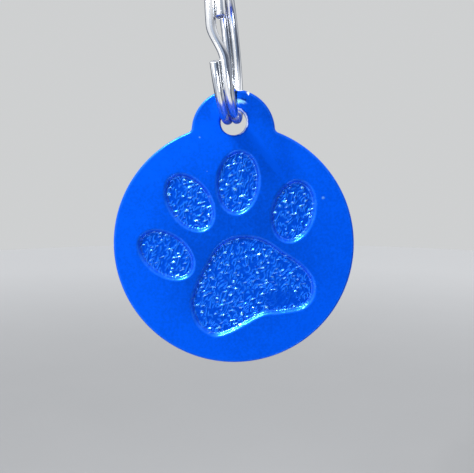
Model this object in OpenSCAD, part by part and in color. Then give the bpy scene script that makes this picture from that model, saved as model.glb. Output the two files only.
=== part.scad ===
// Pet identity tag: a round painted blank with a sunk paw print, hung from a split ring of two turns.
// Millimetres. The origin is the point at the top of the ring's eye where a collar's link bears,
// Z is up, and the front of the tag faces -Y.

/* [Tag] */
// Diameter of the round tag
tag_d = 32; // [26:0.5:40]
// Thickness of the tag
tag_t = 2; // [1.5:0.1:3]
// Radius of the rounding along the tag's outer edges
edge_r = 0.3; // [0.15:0.05:0.6]

/* [Ear] */
// Diameter of the ear that carries the hole
ear_d = 10.9; // [9:0.1:13]
// How far the ear's centre lies inside the tag's edge
ear_sink = 1; // [0:0.1:2.5]
// Radius of the fillet where the ear leaves the tag
neck_r = 0.7; // [0.5:0.1:1.5]
// Diameter of the hole for the ring
hole_d = 3.4; // [3.3:0.05:4.5]
// Height of the hole's centre above the ear's centre
hole_rise = 1.25; // [0.5:0.05:1.5]
// Radius of the rounding at both mouths of the hole
mouth_r = 0.2; // [0.1:0.05:0.35]

/* [Paw print] */
// Rim left between the print and the tag's edge
paw_rim = 2.7; // [2:0.1:5]
// Depth of the print below the face
paw_depth = 0.55; // [0.3:0.05:0.8]
// How far the wall between the face and the print's floor reaches inside the print's outline
wall_run = 0.4; // [0.3:0.05:0.8]
// How far its soft lip reaches outside the outline
lip_run = 0.2; // [0.1:0.05:0.3]

/* [Split ring] */
// Outer diameter of the ring
ring_d = 20; // [16:0.5:26]
// Thickness of the wire, measured from the ring's eye outwards
wire_t = 1.35; // [1:0.05:1.5]
// Width of one turn of wire, measured along the ring's axis
wire_w = 1.18; // [0.9:0.02:1.25]
// Radius of the wire's corners
wire_corner_r = 0.55; // [0.2:0.05:0.6]
// Gap between the two turns
turn_gap = 0.04; // [0.02:0.01:0.1]
// Angle of the upper cut end above the ring's front
upper_end_a = 10.5; // [0:0.5:20]
// Angle between the two cut ends, where the wire is cranked from one turn into the other
crank_a = 30; // [25:0.5:45]
// Part of that angle, next to the upper cut end, over which the wire still runs straight
crank_rest_a = 5; // [0:0.5:8]

/* [How the ring hangs in the tag] */
// Lean of the ring to the left
ring_lean = 5; // [0:0.5:8]
// Turn of the ring out of square with the tag
ring_turn = -4; // [-5:0.5:5]
// Least gap between the wire and the wall of the hole
ring_clearance = 0.1; // [0.06:0.01:0.2]
// Direction from the hole's centre in which the wire lies nearest its wall, counted from the right
bearing_a = 153; // [120:1:170]

/* [Hidden] */

// Overrun of cuts past the faces they open
overrun = 0.1;
// Steps along a quarter of the tag's edge, round a neck's fillet, along the ear and along a rounded edge
quarter_steps = 20;
neck_steps = 4;
ear_steps = 22;
edge_steps = 3;
// Steps along a corner of the wire, along a turn and along its crank
corner_steps = 4;
turn_steps = 54;
crank_steps = 12;
// Steps down the print's wall, between two points of the pad, and round a toe
wall_steps = 6;
pad_steps = 4;
toe_steps = 36;
$fn = 96;

// The tag, measured from the centre of its disc
tag_r = tag_d / 2;
ear_r = ear_d / 2;
hole_r = hole_d / 2;
ear_rise = tag_r - ear_sink;
hole_height = ear_rise + hole_rise;

// The neck's fillet touches the disc and the ear, so its centre is known from its distance to both
neck_to_tag = tag_r + neck_r;
neck_to_ear = ear_r + neck_r;
neck_y = (neck_to_tag * neck_to_tag - neck_to_ear * neck_to_ear + ear_rise * ear_rise) / (2 * ear_rise);
neck_x = sqrt(neck_to_tag * neck_to_tag - neck_y * neck_y);
// Directions from the tag's centre and from the ear's centre to the fillet's centre
tag_neck_a = atan2(neck_y, neck_x);
ear_neck_a = atan2(neck_y - ear_rise, neck_x);

// The print's toes and pad are drawn as shares of the radius of the circle that the print fills
paw_r = tag_r - paw_rim;
// Length and width of a toe
toe_l_share = 0.64;
toe_w_share = 0.4375;
// Each toe's centre as shares of paw_r, and the direction of its length
toe_place_shares = [
    [-0.675, -0.095, 144],
    [-0.435, 0.43, 124],
    [0.045, 0.63, 84],
    [0.595, 0.345, 76],
];
// Points of the pad, clockwise from its left lobe, as shares of paw_r
pad_shares = [
    [-0.435, -0.615],
    [-0.395, -0.43],
    [-0.295, -0.22],
    [-0.175, -0.02],
    [-0.035, 0.08],
    [0.135, 0.105],
    [0.315, 0.065],
    [0.505, -0.06],
    [0.685, -0.18],
    [0.805, -0.335],
    [0.815, -0.505],
    [0.715, -0.635],
    [0.51, -0.685],
    [0.31, -0.71],
    [0.14, -0.8],
    [-0.035, -0.895],
    [-0.205, -0.93],
    [-0.365, -0.82],
];

// The ring, measured in its own plane
ring_r = ring_d / 2;
eye_r = ring_r - wire_t;
wire_r = ring_r - wire_t / 2;
pitch = wire_w + turn_gap;
// The wire's corners stay short of a full round, so that its sides keep a flat
corner_limit_share = 0.48;
corner_r = min(wire_corner_r, min(wire_w, wire_t) * corner_limit_share);
// Angles round the ring count from its back over its top to its front
crank_end_a = 180 - upper_end_a + crank_a;

turn_a = 360 - crank_a;
// Places of the wire's sections, from its upper cut end back to its lower one
section_angles = concat(
    [for (i = [turn_steps:-1:1]) turn_a + crank_a + turn_a * i / turn_steps],
    [for (i = [crank_steps:-1:1]) turn_a + crank_a * i / crank_steps],
    [for (i = [turn_steps:-1:0]) turn_a * i / turn_steps]
);

// Unit vector up the plane of the leaning ring, and the middle of its wires at the lowest point
ring_up = [-sin(ring_lean) * cos(ring_turn), -sin(ring_lean) * sin(ring_turn), cos(ring_lean)];
ring_low = -(eye_r + wire_r) * ring_up;
// The pair of wires lies in the hole with its upper left corner nearest the wall
corner_x = -(wire_w + turn_gap / 2 - corner_r) - abs(tan(ring_turn)) * tag_t / 2;
corner_z = wire_t / 2 - corner_r;
corner_at = [
    corner_x * cos(ring_lean) - corner_z * sin(ring_lean),
    corner_x * sin(ring_lean) + corner_z * cos(ring_lean),
];
bearing_r = hole_r - ring_clearance - corner_r;
wires_from_hole = [bearing_r * cos(bearing_a), bearing_r * sin(bearing_a)] - corner_at;
hole_at = ring_low - [wires_from_hole[0], 0, wires_from_hole[1]];
tag_at = hole_at - [0, 0, hole_height];

// Points along an arc about a centre
function arc(centre, r, from_a, to_a, steps) = [
    for (i = [0:steps])
        let (a = from_a + (to_a - from_a) * i / steps) centre + r * [cos(a), sin(a)]
];

// The same without its last point, where the next arc of an outline starts
function arc_from(centre, r, from_a, to_a, steps) = [
    for (i = [0:steps - 1])
        let (a = from_a + (to_a - from_a) * i / steps) centre + r * [cos(a), sin(a)]
];

// Counterclockwise outline of the tag with its ear, moved inwards. Its arcs touch where their normals meet
function blank_outline(inwards) =
    let (r = tag_r - inwards, ear = [0, ear_rise])
    concat(
        arc_from([0, 0], r, 180 - tag_neck_a, 180, quarter_steps),
        arc_from([0, 0], r, 180, 270, quarter_steps),
        arc_from([0, 0], r, 270, 360, quarter_steps),
        arc_from([0, 0], r, 0, tag_neck_a, quarter_steps),
        arc_from([neck_x, neck_y], neck_r + inwards, 180 + tag_neck_a, 180 + ear_neck_a, neck_steps),
        arc_from(ear, ear_r - inwards, ear_neck_a, 180 - ear_neck_a, ear_steps),
        arc_from([-neck_x, neck_y], neck_r + inwards, -ear_neck_a, -tag_neck_a, neck_steps)
    );

// Counterclockwise outline of a box with round corners, its middle at the given place
function round_box(middle, size, r) =
    let (dx = size[0] / 2 - r, dy = size[1] / 2 - r)
    concat(
        arc(middle + [dx, dy], r, 0, 90, corner_steps),
        arc(middle + [-dx, dy], r, 90, 180, corner_steps),
        arc(middle + [-dx, -dy], r, 180, 270, corner_steps),
        arc(middle + [dx, -dy], r, 270, 360, corner_steps)
    );

// A point between b and c on the smooth curve that runs through a, b, c and d
function curve_point(a, b, c, d, t) =
    (2 * b + (c - a) * t + (2 * a - 5 * b + 4 * c - d) * t * t + (3 * b - 3 * c + d - a) * t * t * t) / 2;

// Smooth closed curve through all the points
function closed_curve(points, steps) =
    let (n = len(points))
    [
        for (i = [0:n - 1], j = [0:steps - 1])
            curve_point(points[(i + n - 1) % n], points[i], points[(i + 1) % n], points[(i + 2) % n], j / steps)
    ];

// A closed clockwise outline moved inwards, each point along the normal there
function inset(points, distance) =
    let (n = len(points))
    [
        for (i = [0:n - 1])
            let (along = points[(i + 1) % n] - points[(i + n - 1) % n])
            points[i] + distance * [along[1], -along[0]] / norm(along)
    ];

// Clockwise ellipse about a centre, its length turned to an angle
function ellipse(centre, length, width, turn) = [
    for (i = [0:toe_steps - 1])
        let (a = -360 * i / toe_steps, u = length / 2 * cos(a), v = width / 2 * sin(a))
        centre + [u * cos(turn) - v * sin(turn), u * sin(turn) + v * cos(turn)]
];

// Sum of a list of points, from one place in it to its end
function sum_from(points, i = 0) = i == len(points) - 1 ? points[i] : points[i] + sum_from(points, i + 1);

function middle(points) = sum_from(points) / len(points);

// Solid through equal closed sections, each a list of points, closed at both ends by a fan about its middle
module skin(sections) {
    n = len(sections[0]);
    last = (len(sections) - 1) * n;
    first_middle = last + n;
    last_middle = first_middle + 1;
    polyhedron(
        points = concat([for (section = sections) each section], [middle(sections[0]), middle(sections[last / n])]),
        faces = concat(
            [for (i = [0:n - 1]) [first_middle, i, (i + 1) % n]],
            [
                for (s = [0:len(sections) - 2], i = [0:n - 1])
                    each let (a = s * n + i, b = s * n + (i + 1) % n) [[a, a + n, b + n], [a, b + n, b]]
            ],
            [for (i = [0:n - 1]) [last_middle, last + (i + 1) % n, last + i]]
        )
    );
}

// Plate with its ear, its edges rounded along a quarter circle
module plate() {
    edge = arc([edge_r, tag_t / 2 - edge_r], edge_r, 180, 90, edge_steps);
    skin([
        for (side = [-1, 1], i = [0:edge_steps])
            let (p = edge[side < 0 ? edge_steps - i : i])
            [for (q = blank_outline(p[0])) [q[0], q[1], side * p[1]]]
    ]);
}

// Bore for the ring with rounded mouths
module ring_hole() {
    translate([0, hole_height, -tag_t / 2 - overrun])
        cylinder(r = hole_r, h = tag_t + 2 * overrun);
    for (side = [-1, 1])
        translate([0, hole_height, side * (tag_t / 2 - mouth_r)])
            rotate_extrude()
                mouth_section(side);
}

// Section of what a rounded mouth takes away beyond the bore
module mouth_section(side) {
    difference() {
        translate([0, side > 0 ? 0 : -mouth_r - overrun])
            square([hole_r + mouth_r, mouth_r + overrun]);
        translate([hole_r + mouth_r, 0])
            circle(mouth_r);
    }
}

// Sunk shape: its wall falls from the face to a flat floor along a parabola, steepest at its foot
module sunk(outline) {
    run = lip_run + wall_run;
    levels = concat(
        [[-lip_run - overrun, overrun]],
        [for (i = [1:wall_steps]) let (t = i / wall_steps) [run * t - lip_run, -paw_depth * t * t]]
    );
    skin([
        for (level = levels)
            [for (p = inset(outline, level[0])) [p[0], p[1], tag_t / 2 + level[1]]]
    ]);
}

module paw_print() {
    for (place = toe_place_shares)
        sunk(ellipse(paw_r * [place[0], place[1]], paw_r * toe_l_share, paw_r * toe_w_share, place[2]));
    sunk(closed_curve(paw_r * pad_shares, pad_steps));
}

module tag_blank() {
    color([0, 0.3, 0.9])
    translate(tag_at)
    rotate([90, 0, 0])
    difference() {
        plate();
        ring_hole();
        paw_print();
    }
}

// How far the wire lies to the right of the ring's middle, at an angle along it from its lower cut end:
// a turn on the left, half a cosine wave across, and a turn on the right
function sideways(along_a) =
    let (t = (along_a - turn_a - crank_rest_a) / (crank_a - crank_rest_a))
    -cos(180 * min(max(t, 0), 1)) * pitch / 2;

// Outline of the wire at an angle along it
function wire_section(along_a) =
    let (a = crank_end_a + along_a)
    [
        for (p = round_box([wire_r, sideways(along_a)], [wire_t, wire_w], corner_r))
            [p[0] * cos(a), p[0] * sin(a), p[1]]
    ];

module split_ring() {
    color([0.75, 0.76, 0.78])
    rotate([0, -ring_lean, ring_turn])
    translate([0, 0, -eye_r])
    rotate([90, 0, 90])
    skin([for (along_a = section_angles) wire_section(along_a)]);
}

tag_blank();
split_ring();
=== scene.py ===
"""Looks of a pet identity tag: a blue coated blank with a sunk paw print, hung on a split ring.

Lengths held by the classes are millimetres, and MM turns them into the frame's metres. The tag's own plane
has u to the right, v up and w out of its face, and its origin is the middle of its disc.
"""

import logging
import math
from collections.abc import Callable, Sequence
from dataclasses import dataclass, field
from enum import Enum, IntEnum

import bpy
import numpy as np
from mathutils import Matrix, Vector
from mathutils.geometry import tessellate_polygon

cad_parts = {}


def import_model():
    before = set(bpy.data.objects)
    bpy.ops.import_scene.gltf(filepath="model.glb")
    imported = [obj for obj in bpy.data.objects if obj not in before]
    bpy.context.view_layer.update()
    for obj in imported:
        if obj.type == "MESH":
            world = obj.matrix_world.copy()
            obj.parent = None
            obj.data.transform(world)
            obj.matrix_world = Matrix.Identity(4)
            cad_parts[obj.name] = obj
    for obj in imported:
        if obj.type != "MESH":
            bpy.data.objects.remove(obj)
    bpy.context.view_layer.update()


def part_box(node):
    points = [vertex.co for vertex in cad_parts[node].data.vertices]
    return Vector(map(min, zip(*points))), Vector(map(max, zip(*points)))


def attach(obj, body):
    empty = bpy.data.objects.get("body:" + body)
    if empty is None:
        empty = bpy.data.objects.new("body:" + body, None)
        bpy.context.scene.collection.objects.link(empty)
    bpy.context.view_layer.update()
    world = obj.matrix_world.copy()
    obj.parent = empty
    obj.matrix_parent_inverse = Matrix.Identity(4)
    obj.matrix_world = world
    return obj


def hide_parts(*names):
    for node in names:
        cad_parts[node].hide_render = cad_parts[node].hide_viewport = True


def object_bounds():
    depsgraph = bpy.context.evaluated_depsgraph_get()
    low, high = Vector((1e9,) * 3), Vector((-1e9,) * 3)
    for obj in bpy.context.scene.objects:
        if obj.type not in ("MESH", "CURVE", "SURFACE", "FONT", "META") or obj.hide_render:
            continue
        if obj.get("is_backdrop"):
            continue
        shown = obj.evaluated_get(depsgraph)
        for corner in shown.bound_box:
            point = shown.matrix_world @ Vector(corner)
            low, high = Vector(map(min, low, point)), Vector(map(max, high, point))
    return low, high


MM = 0.001
CIRCLE_STEPS = 96
NOISE_MIDDLE = 0.5
LOG = logging.getLogger("pet_tag")

Array = np.ndarray
Colour = tuple[float, float, float]


class Face(Enum):
    """The two flat sides of the tag, by the direction of w that each looks in."""

    FRONT = 1
    BACK = -1


class Seed(IntEnum):
    """What picks each noise of the print's floor."""

    LINES = 3
    GRAINS = 5
    BREAKS = 7
    BENDS = 11


# Shapes


def arc(centre: Sequence[float], radius: float, from_a: float, to_a: float, steps: int) -> Array:
    """Points of an arc without its last one: centre + radius * (cos a, sin a), a running evenly.

    Args:
        centre: Centre of the arc.
        radius: Its radius.
        from_a: First angle in degrees.
        to_a: Last angle in degrees, where the next arc of an outline starts.
        steps: How many points.

    Returns:
        The points, one a row.
    """
    a = np.radians(from_a + (to_a - from_a) * np.arange(steps) / steps)
    return np.asarray(centre) + radius * np.stack([np.cos(a), np.sin(a)], axis=-1)


def smooth(t: Array) -> Array:
    """Blend from 0 to 1 with level ends: 6 t^5 - 15 t^4 + 10 t^3, t held between 0 and 1."""
    t = np.clip(t, 0, 1)
    return t * t * t * (t * (6 * t - 15) + 10)


def half_wave(t: Array) -> Array:
    """Blend from 0 to 1 along half a cosine wave: (1 - cos(180 t)) / 2, t held between 0 and 1."""
    return (1 - np.cos(np.pi * np.clip(t, 0, 1))) / 2


@dataclass(frozen=True)
class GradientNoise:
    """Smooth noise in a plane, from -1 to 1, the same at each run.

    Attributes:
        seed: Picks the noise.
        cells: After how many cells it repeats.
    """

    seed: int
    cells: int = 61

    def at(self, x: Array, y: Array) -> Array:
        """Noise at places given in cells.

        Each corner of a cell has a random unit vector. Its dot product with the way from the corner to the
        place is blended over the cell by smooth().

        Args:
            x: Places across.
            y: Places up.

        Returns:
            The noise at each place.
        """
        turns = np.random.default_rng(self.seed).uniform(0, 2 * np.pi, (self.cells, self.cells))
        column, row = np.floor(x).astype(int), np.floor(y).astype(int)
        dx, dy = x - column, y - row
        corners = []
        for up in (0, 1):
            for across in (0, 1):
                a = turns[(row + up) % self.cells, (column + across) % self.cells]
                corners.append(np.cos(a) * (dx - across) + np.sin(a) * (dy - up))
        blend_x, blend_y = smooth(dx), smooth(dy)
        low = corners[0] + (corners[1] - corners[0]) * blend_x
        high = corners[2] + (corners[3] - corners[2]) * blend_x
        return math.sqrt(2) * (low + (high - low) * blend_y)


@dataclass
class Surface:
    """A closed mesh put together from grids that share the points along their borders.

    Attributes:
        points: Arrays of points, each of three columns.
        faces: Arrays of corner numbers, of three or four columns.
        marks: For each array of points, a number per point for each named attribute.
    """

    points: list[Array] = field(default_factory=list)
    faces: list[Array] = field(default_factory=list)
    marks: dict[str, list[Array]] = field(default_factory=dict)

    def add(self, points: Array, **marks: Array) -> Array:
        """Adds a grid of points.

        Args:
            points: The grid, its last axis x, y, z.
            marks: Numbers for the points, one grid for each named attribute.

        Returns:
            The points' numbers in the mesh, in the same grid.
        """
        start = sum(len(p) for p in self.points)
        flat = points.reshape(-1, 3)
        self.points.append(flat)
        for name in set(self.marks) | set(marks):
            past = self.marks.setdefault(name, [np.zeros(start)] if start else [])
            past.append(np.broadcast_to(marks.get(name, 0.0), points.shape[:-1]).reshape(-1))
        return start + np.arange(len(flat)).reshape(points.shape[:-1])

    def skin(self, grid: Array, wrap: bool = True) -> None:
        """Joins each row of a grid of point numbers to the next with four-sided faces.

        Args:
            grid: The numbers. Seen from outside, a step along a row and then one to the next row turns left.
            wrap: Whether each row closes on itself.
        """
        if wrap:
            grid = np.concatenate([grid, grid[:, :1]], axis=1)
        corners = [grid[:-1, :-1], grid[:-1, 1:], grid[1:, 1:], grid[1:, :-1]]
        self.faces.append(np.stack(corners, axis=-1).reshape(-1, 4))

    def fan(self, loop: Array, middle: int) -> None:
        """Closes a loop with triangles that meet in a middle point, counterclockwise as the loop is."""
        self.faces.append(np.stack([loop, np.roll(loop, -1), np.full(len(loop), middle)], axis=-1))

    def fill(self, loops: Sequence[Array], plane: tuple[int, int], flip: bool) -> None:
        """Fills a flat outline that has holes with triangles.

        Args:
            loops: The point numbers of the outline and of each hole.
            plane: The two axes that span the plane.
            flip: Whether the faces turn clockwise as seen with the first axis to the right.
        """
        numbers = np.concatenate(loops)
        flat = np.concatenate(self.points)[:, plane]
        outlines = [[Vector((*p, 0.0)) for p in flat[loop]] for loop in loops]
        triangles = numbers[np.array(tessellate_polygon(outlines))]
        a, b, c = (flat[triangles[:, i]] for i in range(3))
        side = (b - a)[:, 0] * (c - a)[:, 1] - (b - a)[:, 1] * (c - a)[:, 0]
        wrong = (side < 0) != flip
        triangles[wrong] = triangles[wrong][:, ::-1]
        self.faces.append(triangles[side != 0])

    def make(self, name: str, place: Callable[[Array], Array]) -> bpy.types.Object:
        """Makes the object.

        Args:
            name: The piece's name.
            place: Turns points in the piece's own millimetres into the frame's metres.

        Returns:
            The object, at the origin, with smooth faces and the marks as attributes.
        """
        mesh = bpy.data.meshes.new(name)
        faces = [face for part in self.faces for face in part.tolist()]
        mesh.from_pydata(place(np.concatenate(self.points)).tolist(), [], faces)
        for mark, parts in self.marks.items():
            attribute = mesh.attributes.new(mark, "FLOAT", "POINT")
            attribute.data.foreach_set("value", np.concatenate(parts).astype(np.float32))
        mesh.shade_smooth()
        mesh.update()
        piece = bpy.data.objects.new(name, mesh)
        bpy.context.scene.collection.objects.link(piece)
        return piece


# Shader maths


class Value:
    """An output socket of a shader node, on which sums are written as Python expressions."""

    def __init__(self, shader: "Shader", socket: bpy.types.NodeSocket) -> None:
        """Wraps a socket of a shader."""
        self.shader = shader
        self.socket = socket

    def __add__(self, other: "Value | float") -> "Value":
        """Sum with a value or number."""
        return self.shader.math("ADD", self, other)

    def __sub__(self, other: "Value | float") -> "Value":
        """This less a value or number."""
        return self.shader.math("SUBTRACT", self, other)

    def __rsub__(self, other: float) -> "Value":
        """A number less this."""
        return self.shader.math("SUBTRACT", other, self)

    def __mul__(self, other: "Value | float") -> "Value":
        """Product with a value or number."""
        return self.shader.math("MULTIPLY", self, other)

    __radd__ = __add__
    __rmul__ = __mul__

    def step(self, low: float, high: float) -> "Value":
        """0 below low and 1 above high, with a smooth change between them. Low may be the larger."""
        node = self.shader.node(
            "ShaderNodeMapRange",
            {"interpolation_type": "SMOOTHSTEP"},
            {"Value": self, "From Min": low, "From Max": high},
        )
        return Value(self.shader, node.outputs["Result"])


class Shader:
    """The node tree of a material or world, built by calls that return its values."""

    def __init__(self, tree: bpy.types.NodeTree) -> None:
        """Empties the tree."""
        self.tree = tree
        tree.nodes.clear()

    def node(self, kind: str, settings: dict | None = None, inputs: dict | None = None) -> bpy.types.Node:
        """Adds a node.

        Args:
            kind: The node's type.
            settings: Its settings, which are set first.
            inputs: What goes into its sockets, by name or number: a Value is linked, and the rest is set.

        Returns:
            The node.
        """
        node = self.tree.nodes.new(kind)
        for name, setting in (settings or {}).items():
            setattr(node, name, setting)
        for name, given in (inputs or {}).items():
            socket = node.inputs[name]
            if isinstance(given, Value):
                self.tree.links.new(given.socket, socket)
            else:
                socket.default_value = given
        return node

    def math(self, operation: str, *terms: Value | float) -> Value:
        """A Math node's result on values or numbers."""
        node = self.node("ShaderNodeMath", {"operation": operation}, dict(enumerate(terms)))
        return Value(self, node.outputs[0])

    def largest(self, *terms: Value) -> Value:
        """The largest of several values."""
        result = terms[0]
        for term in terms[1:]:
            result = self.math("MAXIMUM", result, term)
        return result

    def mark(self, name: str) -> Value:
        """A number that the piece's mesh holds for each point."""
        node = self.node("ShaderNodeAttribute", {"attribute_name": name})
        return Value(self, node.outputs["Fac"])

    def place(self) -> Value:
        """Where the surface lies on the piece, in metres of the row frame."""
        return Value(self, self.node("ShaderNodeTexCoord").outputs["Object"])

    def turned(self, turn: float, centre: Sequence[float]) -> Value:
        """Where the surface lies once the piece is turned about a point, in metres.

        Args:
            turn: Angle in degrees in the tag's plane of the direction that comes to lie along X.
            centre: The point, in metres of the row frame.

        Returns:
            The place.
        """
        node = self.node(
            "ShaderNodeVectorRotate",
            {"rotation_type": "Y_AXIS"},
            {"Vector": self.place(), "Center": tuple(centre), "Angle": math.radians(turn)},
        )
        return Value(self, node.outputs["Vector"])

    def mapped(self, vector: Value, scale: Sequence[float], shift: Sequence[float] = (0, 0, 0)) -> Value:
        """A vector times a scale, then moved by a shift."""
        inputs = {"Vector": vector, "Location": tuple(shift), "Scale": tuple(scale)}
        node = self.node("ShaderNodeMapping", {"vector_type": "POINT"}, inputs)
        return Value(self, node.outputs["Vector"])

    def from_point(
        self, point: Sequence[float], squeeze: Sequence[float] = (1, 1, 1), turn: float = 0.0
    ) -> Value:
        """Distance to a point, in millimetres.

        Args:
            point: The point, in metres of the row frame.
            squeeze: What the distance along each axis is multiplied by first.
            turn: Angle in degrees by which those axes are turned in the tag's plane.

        Returns:
            The distance.
        """
        scale = [s / MM for s in squeeze]
        place = self.turned(turn, point) if turn else self.place()
        moved = self.mapped(place, scale, [-p * s for p, s in zip(point, scale)])
        node = self.node("ShaderNodeVectorMath", {"operation": "LENGTH"}, {0: moved})
        return Value(self, node.outputs["Value"])

    def noise(self, vector: Value, waves: Sequence[float], detail: float) -> Value:
        """Noise, mostly between 0.3 and 0.7.

        Args:
            vector: Where it is read.
            waves: Length of its waves along each axis of that vector.
            detail: How many finer waves are added.

        Returns:
            The noise.
        """
        inputs = {"Vector": self.mapped(vector, [1 / w for w in waves]), "Scale": 1.0, "Detail": detail}
        return Value(self, self.node("ShaderNodeTexNoise", {}, inputs).outputs["Fac"])

    def grain(self, wave: float, detail: float) -> Value:
        """Noise over the piece whose waves have a length in millimetres."""
        return self.noise(self.place(), [wave * MM] * 3, detail)

    def mix(self, factor: Value, first: Value | Colour, second: Value | Colour) -> Value:
        """Colour that goes from the first to the second as the factor goes from 0 to 1."""
        colours = [c if isinstance(c, Value) else (*c, 1.0) for c in (first, second)]
        settings = {"data_type": "RGBA", "clamp_factor": True}
        node = self.node("ShaderNodeMix", settings, {0: factor, 6: colours[0], 7: colours[1]})
        return Value(self, node.outputs[2])

    def bump(self, height: Value) -> Value:
        """Normal of the surface raised by a height in millimetres."""
        inputs = {"Strength": 1.0, "Distance": MM, "Height": height}
        return Value(self, self.node("ShaderNodeBump", {}, inputs).outputs["Normal"])

    def finish(self, inputs: dict) -> None:
        """Sends a Principled shader with these inputs to the material's output."""
        surface = self.node("ShaderNodeBsdfPrincipled", {}, inputs)
        self.node("ShaderNodeOutputMaterial", {}, {"Surface": Value(self, surface.outputs["BSDF"])})


def new_material(name: str) -> tuple[bpy.types.Material, Shader]:
    """A new material and the builder of its nodes."""
    material = bpy.data.materials.new(name)
    material.use_nodes = True
    return material, Shader(material.node_tree)


# Finishes


@dataclass(frozen=True)
class Mottle:
    """A mask made from noise over the piece: 0 where the noise is below low, and 1 above high.

    Attributes:
        wave: Length of the noise's waves.
        detail: How many finer waves are added.
        low: The lower bound.
        high: The upper bound.
    """

    wave: float
    detail: float
    low: float
    high: float

    def mask(self, shader: Shader) -> Value:
        """The mask."""
        return shader.grain(self.wave, self.detail).step(self.low, self.high)


@dataclass(frozen=True)
class Blend:
    """A number that changes over the surface with its masks.

    Attributes:
        base: The number where every mask is 0.
        shares: By a mask's name, what it adds where it is 1.
    """

    base: float
    shares: dict[str, float]

    def over(self, masks: dict[str, Value]) -> Value:
        """The number all over the surface: the base and each share times its mask."""
        total = self.base
        for name, share in self.shares.items():
            total = total + masks[name] * share
        return total


@dataclass(frozen=True)
class Wear:
    """A place on the tag where the coat is chipped or rubbed.

    Attributes:
        place: Its middle in the tag's plane.
        size: How far it reaches along its own length and across it.
        turn: Direction of that length in degrees from u.
        fade: How soft its border is, as a share of its reach.
    """

    place: tuple[float, float]
    size: tuple[float, float]
    turn: float = 0.0
    fade: float = 0.15


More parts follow.
